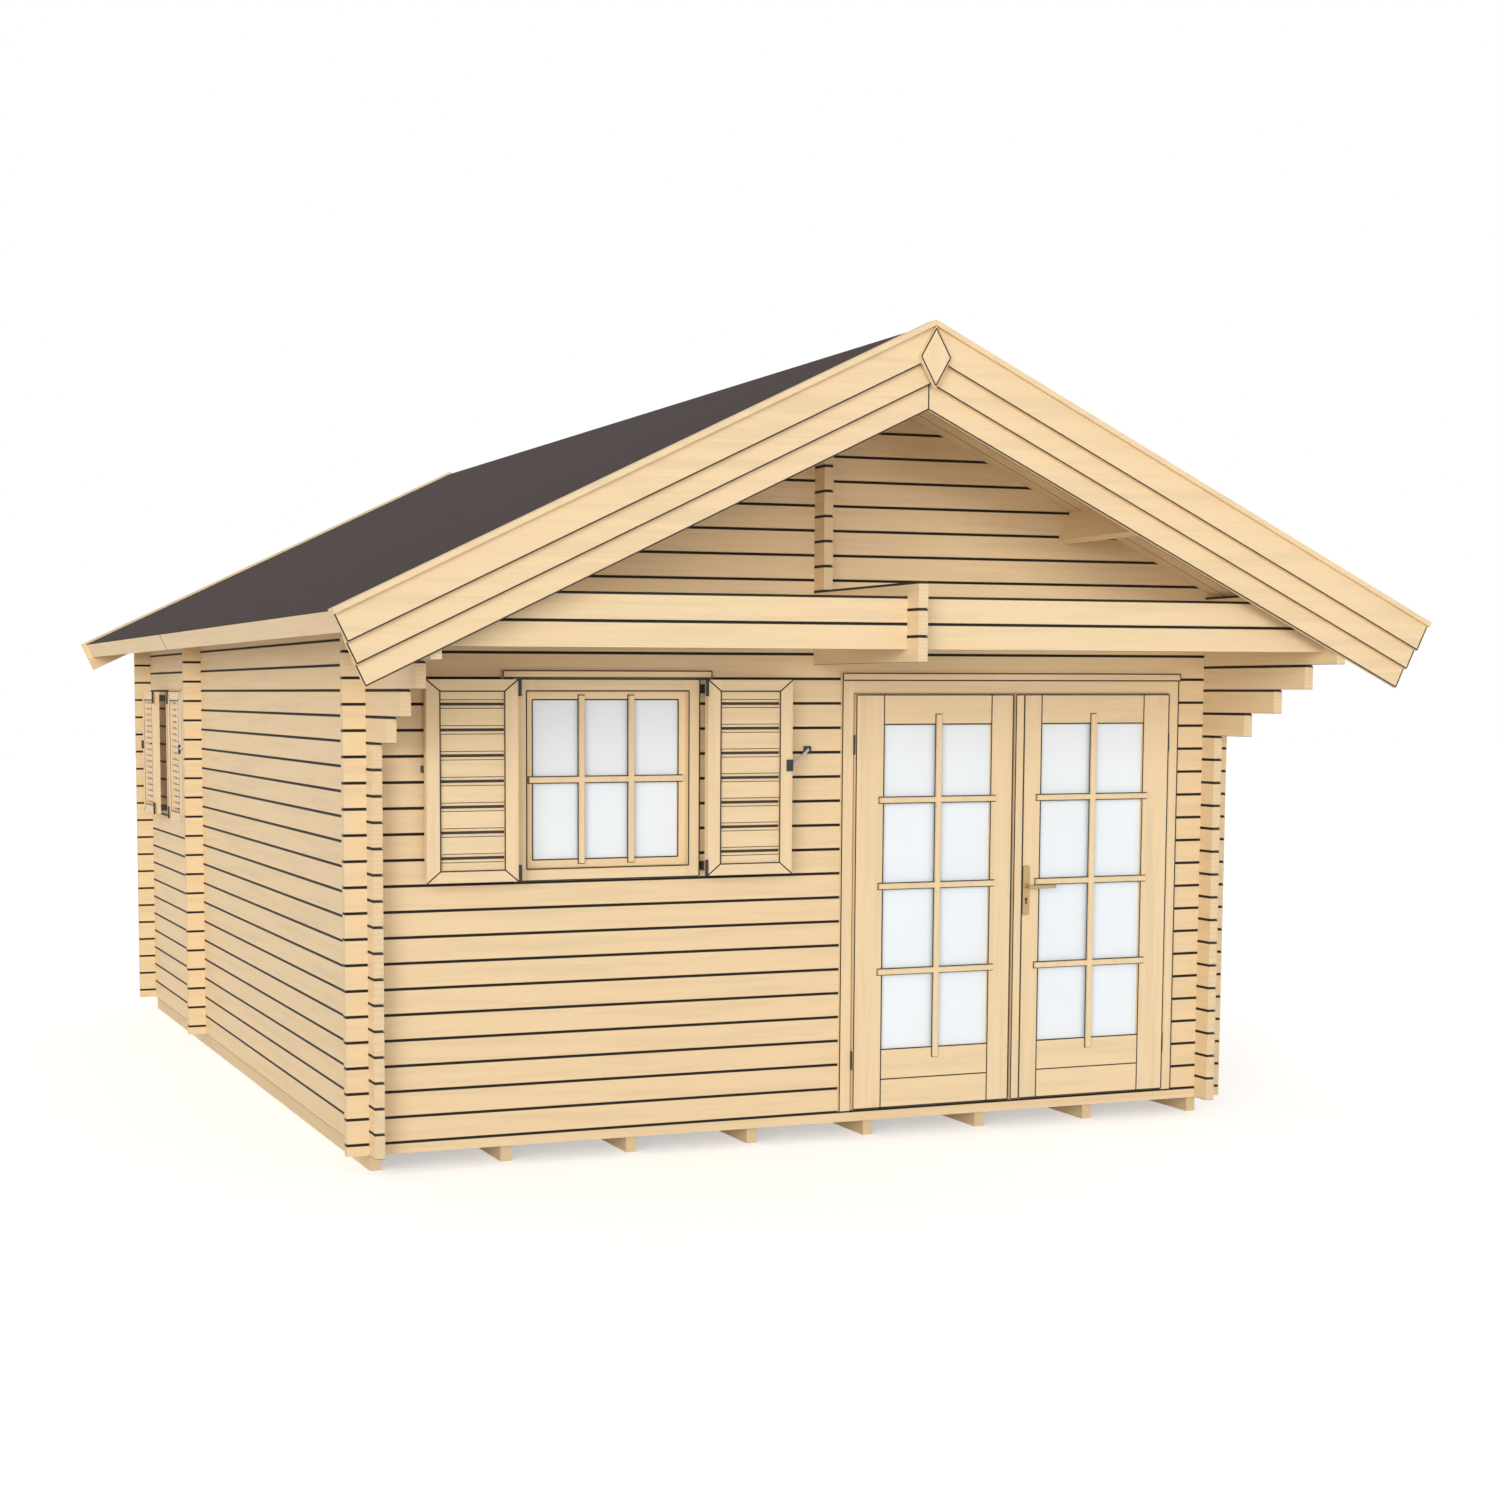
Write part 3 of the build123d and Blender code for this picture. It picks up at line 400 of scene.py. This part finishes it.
def straight_bars(name, runs, material, body, ease):
    """Straight bars as one mesh. Each run is a line on a face, from a to b, with a width, a depth and
    the way the face looks; an eased rectangle is carried from a to b: v = end + across * u + out * d."""
    start, end, width, depth, out = (np.array(column, float) for column in zip(*runs))
    along = (end - start) / np.linalg.norm(end - start, axis=1, keepdims=True)
    out = out - along * np.sum(out * along, axis=1, keepdims=True)
    out = out / np.linalg.norm(out, axis=1, keepdims=True)
    across = np.cross(out, along)
    half = width / 2
    none = np.zeros_like(half)
    u = np.stack([-half, half, half, half - ease, ease - half, -half], 1)
    d = np.stack([none, none, depth - ease, depth, depth, depth - ease], 1)
    ring = u[:, :, None] * across[:, None, :] + d[:, :, None] * out[:, None, :]
    verts = np.stack([start[:, None, :] + ring, end[:, None, :] + ring], 1).reshape(-1, 3)
    count = u.shape[1]
    here = np.arange(count)
    after = (here + 1) % count
    base = np.arange(len(runs)) * 2 * count
    sides = np.stack([here, after, after + count, here + count], 1)[None] + base[:, None, None]
    near = here[::-1][None] + base[:, None]
    far = (here + count)[None] + base[:, None]
    mesh = bpy.data.meshes.new(name)
    mesh.from_pydata(verts.tolist(), [], sides.reshape(-1, 4).tolist() + near.tolist() + far.tolist())
    mesh.materials.append(material)
    piece = put_in(name, mesh)
    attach(piece, body)


def grid_runs(pane, face, out, uprights, levels, across_lap, up_lap, width, depth):
    """Bars over a pane in an x-z plane: uprights at shares of its width, levels at shares of its height."""
    low, high = pane
    runs = []
    for x in (low.x + share * (high.x - low.x) for share in uprights):
        runs.append(((x, face, low.z - up_lap), (x, face, high.z + up_lap), width, depth, (0, out, 0)))
    for z in (low.z + share * (high.z - low.z) for share in levels):
        runs.append(((low.x - across_lap, face, z), (high.x + across_lap, face, z),
                     width, depth * LEVEL_BAR_SHARE, (0, out, 0)))
    return runs


def glazing_bars(name, pane, faces, uprights, levels, across_lap, up_lap, body):
    """Bars over a pane, on each of its faces, bedded on dark tape that shows as a thin edge round them."""
    bars, tapes = [], []
    for face, out in faces:
        bars += grid_runs(pane, face + out * TAPE_DEPTH, out, uprights, levels,
                          across_lap, up_lap, BAR_WIDTH, BAR_DEPTH)
        tapes += grid_runs(pane, face, out, uprights, levels, across_lap + TAPE_EDGE, up_lap + TAPE_EDGE,
                           BAR_WIDTH + 2 * TAPE_EDGE, TAPE_DEPTH)
    straight_bars(f"{name}_bars", bars, upright_timber, body, BAR_EASE)
    straight_bars(f"{name}_tape", tapes, dark_tape_and_shade_seams, body, TAPE_EASE)


leaf_face, leaf_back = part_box("left_door_leaf")[0].y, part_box("left_door_leaf")[1].y
sash_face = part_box("front_window_sash")[0].y
for hand, pane in (("left", left_pane), ("right", right_pane)):
    glazing_bars(f"{hand}_leaf", pane, ((leaf_face, -1), (leaf_back, 1)), MIDDLE, DOOR_BAR_SHARES,
                 BAR_LAP, BAR_TALL_LAP, f"{hand}_leaf")
glazing_bars("front_window", front_pane, ((sash_face, -1),), WINDOW_UPRIGHTS, MIDDLE,
             WINDOW_LAP, WINDOW_LAP, "house")

side_sash_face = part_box("side_window_sash")[0].x
side_level = (side_pane[0].z + side_pane[1].z) / 2
side_bar = ((side_sash_face, side_pane[0].y - WINDOW_LAP, side_level),
            (side_sash_face, side_pane[1].y + WINDOW_LAP, side_level), BAR_WIDTH, BAR_DEPTH, (-1, 0, 0))
straight_bars("side_window_bar", [side_bar], level_timber, "house", BAR_EASE)

# Joinery joints: painted shade where stile meets rail and board meets board, at the mitres,
# and along the eased edges of leaves, casings and caps. Each is a thin dark strip on the face, standing for the
# shade there.
SEAM_WIDTH = 0.006
SEAM_PROUD = 0.0006
SEAM_EASE = 0.0001
SEAM_IN = 0.00325
STRIP_WIDTH = 0.05
FRAME_FACE = 0.058
RAIL_RISE = 0.197
FRONT_BOARDS = 7
SHUTTER_SINK = 0.011
BOARD_SEAM = 0.013
GROOVE_HALF = 0.0155
GROOVE_SINK = 0.005
FORWARD, BACKWARD = (0, -1, 0), (0, 1, 0)


def seam(a, b, out, width=SEAM_WIDTH):
    """A strip of painted shade from a to b, along a seam or an eased edge on a face that looks out."""
    return (a, b, width, SEAM_PROUD, out)


def on_wall(axis, along, depth, z):
    """A point on the front wall, which runs along x (axis 0), or on the left one, along y (axis 1)."""
    return (along, depth, z) if axis == 0 else (depth, along, z)


def frame_lines(axis, a, b, low, high, face):
    """Four strips of painted shade round a rectangle on a face of a wall: a to b along the wall and low to high
    in z.
    """
    points = [on_wall(axis, p, face, z) for p, z in ((a, low), (b, low), (b, high), (a, high))]
    return [seam(points[i], points[(i + 1) % 4], on_wall(axis, 0, -1, 0)) for i in range(4)]


def shutter_panel(a, b, shutters):
    """Edges of the panel inside a shutter's frame: a to b along the wall, then low to high in z."""
    return (a + SHUTTER_STILE, b - SHUTTER_STILE, shutters[0].z + SHUTTER_RAIL, shutters[1].z - SHUTTER_RAIL)


def shutter_shade_seams(axis, a, b, shutters, face):
    """Painted shade strips of one shutter: round the panel inside its frame, and the four mitres."""
    panel = shutter_panel(a, b, shutters)
    runs = frame_lines(axis, *panel, face)
    for edge_z, panel_z in ((shutters[0].z, panel[2]), (shutters[1].z, panel[3])):
        for edge, inner in ((a, panel[0]), (b, panel[1])):
            runs.append(seam(on_wall(axis, edge, face, edge_z), on_wall(axis, inner, face, panel_z),
                             on_wall(axis, 0, -1, 0)))
    return runs


right_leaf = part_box("right_door_leaf")
strip_edge = right_leaf[0].x + STRIP_WIDTH
# Painted shade round each leaf's edges, at its stile and rail joints and round the glass.
for hand, pane in (("left", left_pane), ("right", right_pane)):
    low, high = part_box(f"{hand}_door_leaf")
    near = low.x if hand == "left" else strip_edge
    foot, top = low.z + SEAM_IN, high.z - SEAM_IN
    runs = frame_lines(0, near + SEAM_IN, high.x - SEAM_IN, foot, top, leaf_face)
    if hand == "right":
        runs += frame_lines(0, low.x + SEAM_IN, strip_edge - SEAM_IN, foot, top, low.y)
    for face, out in ((leaf_face, FORWARD), (leaf_back, BACKWARD)):
        runs += [seam((x, face, low.z), (x, face, high.z), out) for x in (pane[0].x, pane[1].x)]
        runs += [seam((pane[0].x, face, z), (pane[1].x, face, z), out)
                 for z in (JOIST_TOP + RAIL_RISE, pane[0].z, pane[1].z)]
    straight_bars(f"{hand}_leaf_shade_seams", runs, dark_tape_and_shade_seams, f"{hand}_leaf", SEAM_EASE)

window_cap, door_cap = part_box("front_window_cap"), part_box("door_head_cap")
# Painted shade round the panes and along the eased edges of casings, caps and the door frame.
head_drop = front_casing[1].z - window_cap[0].z
runs = frame_lines(0, front_pane[0].x, front_pane[1].x, front_pane[0].z, front_pane[1].z, sash_face)
for inset in (SEAM_IN, FRAME_FACE - SEAM_IN):
    runs += frame_lines(0, front_casing[0].x + inset, front_casing[1].x - inset,
                        front_casing[0].z + inset, window_cap[0].z - inset, front_casing[0].y)
    runs += frame_lines(1, side_casing[0].y + inset, side_casing[1].y - inset,
                        side_casing[0].z + inset, side_casing[1].z - head_drop - inset, side_casing[0].x)
for low, high in (window_cap, door_cap):
    runs += frame_lines(0, low.x + SEAM_IN, high.x - SEAM_IN, low.z + SEAM_IN, high.z - SEAM_IN, low.y)
low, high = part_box("door_frame")
runs += [seam((x, low.y, low.z), (x, low.y, door_cap[0].z), FORWARD) for x in (low.x + SEAM_IN, high.x - SEAM_IN)]
for a, b in front_spans:
    face = front_shutters[0].y
    runs += shutter_shade_seams(0, a, b, front_shutters, face)
    left, right, low, high = shutter_panel(a, b, front_shutters)
    # Painted shade in each board's groove: a wide dark strip at its bottom and a thin one along each edge.
    for z in low + (high - low) / FRONT_BOARDS * (np.arange(FRONT_BOARDS) + 0.5):
        board, groove = face + SHUTTER_SINK, face + SHUTTER_SINK + GROOVE_SINK
        runs.append(seam((left, groove, z), (right, groove, z), FORWARD, BOARD_SEAM))
        for edge in (z - GROOVE_HALF - SEAM_WIDTH / 2, z + GROOVE_HALF + SEAM_WIDTH / 2):
            runs.append(seam((left, board, edge), (right, board, edge), FORWARD, SEAM_WIDTH / 2))
for a, b in side_spans:
    runs += shutter_shade_seams(1, a, b, side_shutters, side_shutters[0].x)
straight_bars("house_shade_seams", runs, dark_tape_and_shade_seams, "house", SEAM_EASE)

# Edge board joints: painted shade at the butt joint in each eave board, along the laps of the front boards, at
# their mitre at the ridge, and along the edges of the boards and the diamond, as thin dark strips like the
# joinery's.
FASCIA_THICK = 0.02
FASCIA_HIGH = 0.09
FASCIA_JOINT = 3.0
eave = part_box("left_fascia")
spread, rise = eave[1].x - eave[0].x, eave[1].z - eave[0].z
# The eave board is square to the slope: spread = high * sine + thick * cosine, rise the other way round.
square = FASCIA_HIGH ** 2 - FASCIA_THICK ** 2
sine = (spread * FASCIA_HIGH - rise * FASCIA_THICK) / square
cosine = (rise * FASCIA_HIGH - spread * FASCIA_THICK) / square
wall_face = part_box("front_wall_left")[0].y
joint_y = wall_face + FASCIA_JOINT
runs = []
for side in (-1, 1):
    edge = -side * eave[0].x
    top = (edge, joint_y, eave[1].z - FASCIA_THICK * sine)
    foot = (edge - side * FASCIA_HIGH * sine, joint_y, eave[0].z)
    runs.append(seam(top, foot, (side * cosine, 0, -sine), SEAM_WIDTH * 2))
for name in ("front_bargeboard_upper", "front_bargeboard_middle", "front_bargeboard_lower", "rear_bargeboard"):
    low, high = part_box(name)
    face, out = (low.y, FORWARD) if name.startswith("front") else (high.y, BACKWARD)
    width = (high.z - high.x * sine / cosine - low.z) / cosine
    foot = high.x - width * sine
    apex = (0, face, low.z + foot * sine / cosine + SEAM_IN / cosine)
    for side in (-1, 1):
        end = (side * (foot - SEAM_IN * cosine), face, low.z + SEAM_IN * (cosine + sine))
        tip = (side * (high.x - SEAM_IN), face, low.z + width * cosine)
        runs += [seam(apex, end, out), seam(end, tip, out)]
    runs.append(seam(apex, (0, face, high.z - SEAM_IN), out))
low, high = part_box("ridge_diamond")
half_wide, half_tall = (high.x - low.x) / 2 - 2 * SEAM_IN, (high.z - low.z) / 2 - 3 * SEAM_IN
middle = (low.z + high.z) / 2
corners = [(0, low.y, middle + half_tall), (half_wide, low.y, middle),
           (0, low.y, middle - half_tall), (-half_wide, low.y, middle)]
runs += [seam(corners[i], corners[(i + 1) % 4], FORWARD) for i in range(4)]
straight_bars("edge_board_shade_seams", runs, dark_tape_and_shade_seams, "house", SEAM_EASE)

# Lock cylinder: a dark keyed cylinder that fills the keyhole of each handle plate.
# It is held in the lock inside the leaf and stops just short of the plate's face.
KEYHOLE_DROP = 0.163
PLATE_HALF = 0.018
CYLINDER_OUT = 0.005
CYLINDER_HEAD = 0.011
CYLINDER_STEM = 0.0085
STEM_FOOT = 0.024
CYLINDER_EASE = 0.0005
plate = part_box("door_handle")
key_x, key_z = plate[0].x + PLATE_HALF, plate[1].z - KEYHOLE_DROP
head_foot = key_z - CYLINDER_HEAD / 2
runs = []
for face, out in ((leaf_face, FORWARD), (leaf_back, BACKWARD)):
    for top, foot, width in ((key_z + CYLINDER_HEAD / 2, head_foot, CYLINDER_HEAD),
                             (head_foot, key_z - STEM_FOOT, CYLINDER_STEM)):
        runs.append(((key_x, face, top), (key_x, face, foot), width, CYLINDER_OUT, out))
straight_bars("lock_cylinder", runs, iron, "right_leaf", CYLINDER_EASE)

# Shutter ironwork: a hinge barrel at each inner corner, and a link stay from the outer edge to the wall.
# Barrels and stay knobs are stoved black, screwed on; the stay's rod is bare drawn steel.
BARREL_WIDTH = 0.014
BARREL_HEIGHT = 0.073
BARREL_DEPTH = 0.01
KNOB = 0.03
EDGE_KNOB_HALF = 0.026
EDGE_KNOB_DEPTH = 0.012
WALL_KNOB_DEPTH = 0.024
STAY_SHARE = 0.56
FRONT_STAY_OUT = 0.115
SIDE_STAY_OUT = 0.06
STAY_RISE = 0.07
ROD_WIDTH = 0.012
ROD_DEPTH = 0.006
ROD_GAP = 0.002
ROD_OFF_SHUTTER = 0.006
ROD_OFF_WALL = 0.02
ROD_EASE = 0.001
ROD_COLOUR = (0.62, 0.6, 0.57)
IRON_EASE = 0.003
side_wall_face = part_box("left_wall")[0].x


def shutter_irons(axis, spans, shutters, face, wall, stayed, stay_out):
    """Runs of the barrels, knobs and rods of a pair of shutters on a wall; the sides stayed,
    -1 or 1, are those whose stay can be seen."""
    low, high = shutters[0].z, shutters[1].z
    level = low + STAY_SHARE * (high - low)
    out = on_wall(axis, 0, -1, 0)

    def upright(along, depth, foot, top, width, thick):
        return (on_wall(axis, along, depth, foot), on_wall(axis, along, depth, top), width, thick, out)
    irons, rods = [], []
    for (a, b), side in zip(spans, (-1, 1)):
        inner, outer = (b, a) if side < 0 else (a, b)
        for z in (low, high - BARREL_HEIGHT):
            irons.append(upright(inner - side * BARREL_WIDTH / 2, face, z, z + BARREL_HEIGHT,
                                 BARREL_WIDTH, BARREL_DEPTH))
        if side not in stayed:
            continue
        far, far_level = outer + side * stay_out, level + STAY_RISE
        irons.append(upright(outer - side * KNOB / 2, face, level - EDGE_KNOB_HALF, level + EDGE_KNOB_HALF,
                             KNOB, EDGE_KNOB_DEPTH))
        irons.append(upright(far, wall, far_level - KNOB / 2, far_level + KNOB / 2, KNOB, WALL_KNOB_DEPTH))
        rods.append((on_wall(axis, outer + side * ROD_GAP, face - ROD_OFF_SHUTTER, level),
                     on_wall(axis, far, wall - ROD_OFF_WALL, far_level), ROD_WIDTH, ROD_DEPTH, out))
    return irons, rods


front_irons, front_rods = shutter_irons(0, front_spans, front_shutters, front_shutters[0].y, wall_face,
                                        (1,), FRONT_STAY_OUT)
side_irons, side_rods = shutter_irons(1, side_spans, side_shutters, side_shutters[0].x, side_wall_face,
                                      (-1, 1), SIDE_STAY_OUT)
straight_bars("shutter_irons", front_irons + side_irons, iron, "house", IRON_EASE)
drawn_steel = coated_metal("drawn_steel", ROD_COLOUR, metallic=0.3, rough_low=0.4, rough_high=0.5)
straight_bars("stay_rods", front_rods + side_rods, drawn_steel, "house", ROD_EASE)

# Ground and light: a pale matt floor, an even white sky and two broad soft lamps.
# The camera stands where the picture was taken from, its frame shifted up and to the right.
FLOOR_COLOUR = (0.86, 0.86, 0.86)
FLOOR_LIFT = 0.45
FLOOR_HALF = 60.0
FLOOR_LEVEL = -0.001
SKY_LEVEL = 0.62
WHITE = (1.0, 1.0, 1.0)


def seen_directly(tree):
    """1 for rays from the camera, a mirror-like surface or glass, otherwise 0."""
    path = node(tree, "ShaderNodeLightPath").outputs
    seen = maths(tree, "MAXIMUM", path["Is Camera Ray"], path["Is Glossy Ray"])
    return maths(tree, "MAXIMUM", seen, path["Is Transmission Ray"])


def pale_floor(name, colour):
    """Matt floor that keeps shadows and shows as white to the camera where nothing shades it."""
    made, tree, shader, place = new_material(name)
    cloud = noise(tree, place, Scale=0.4, Detail=2.0)
    set_inputs(shader, Base_Color=mix(tree, "RGBA", cloud, shade(colour, 0.99), shade(colour, 1.01)),
               Roughness=0.9, Emission_Color=WHITE,
               Emission_Strength=maths(tree, "MULTIPLY", seen_directly(tree), FLOOR_LIFT))
    return made


floor_mesh = bpy.data.meshes.new("floor")
floor_corners = [(x * FLOOR_HALF, y * FLOOR_HALF, FLOOR_LEVEL) for x, y in ((-1, -1), (1, -1), (1, 1), (-1, 1))]
floor_mesh.from_pydata(floor_corners, [], [(0, 1, 2, 3)])
floor_mesh.materials.append(pale_floor("pale_floor", FLOOR_COLOUR))
floor = put_in("floor", floor_mesh)
floor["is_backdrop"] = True

world = bpy.data.worlds.new("studio_sky")
bpy.context.scene.world = world
world.use_nodes = True
sky_tree = world.node_tree
set_inputs(sky_tree.nodes["Background"], Color=WHITE,
           Strength=maths(sky_tree, "MULTIPLY_ADD", seen_directly(sky_tree), 1 - SKY_LEVEL, SKY_LEVEL))


def soft_sun(name, strength, spread, tilt, turn):
    """A broad far lamp, tilted away from straight down and turned about the upright, in degrees."""
    lamp = bpy.data.lights.new(name, "SUN")
    lamp.energy = strength
    lamp.angle = math.radians(spread)
    put_in(name, lamp).rotation_euler = (math.radians(tilt), 0, math.radians(turn))


soft_sun("soft_lamp", strength=1.5, spread=30, tilt=80, turn=-42)
soft_sun("low_fill", strength=0.8, spread=20, tilt=87, turn=-12)

VIEW_PLACE = (-4.646, -12.0125, 2.1)
VIEW_YAW = math.radians(20.095)
VIEW_PITCH = math.radians(-5.055)
camera = bpy.data.cameras.new("camera")
camera.sensor_width = 36.0
camera.lens = 54.91
camera.shift_x = 0.1081
camera.shift_y = 0.0963
camera.clip_end = 300.0
camera_object = put_in("camera", camera)
camera_object.location = VIEW_PLACE
camera_object.rotation_euler = (math.pi / 2 + VIEW_PITCH, 0, -VIEW_YAW)
bpy.context.scene.camera = camera_object
bpy.context.scene.view_settings.view_transform = "Standard"

low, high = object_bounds()
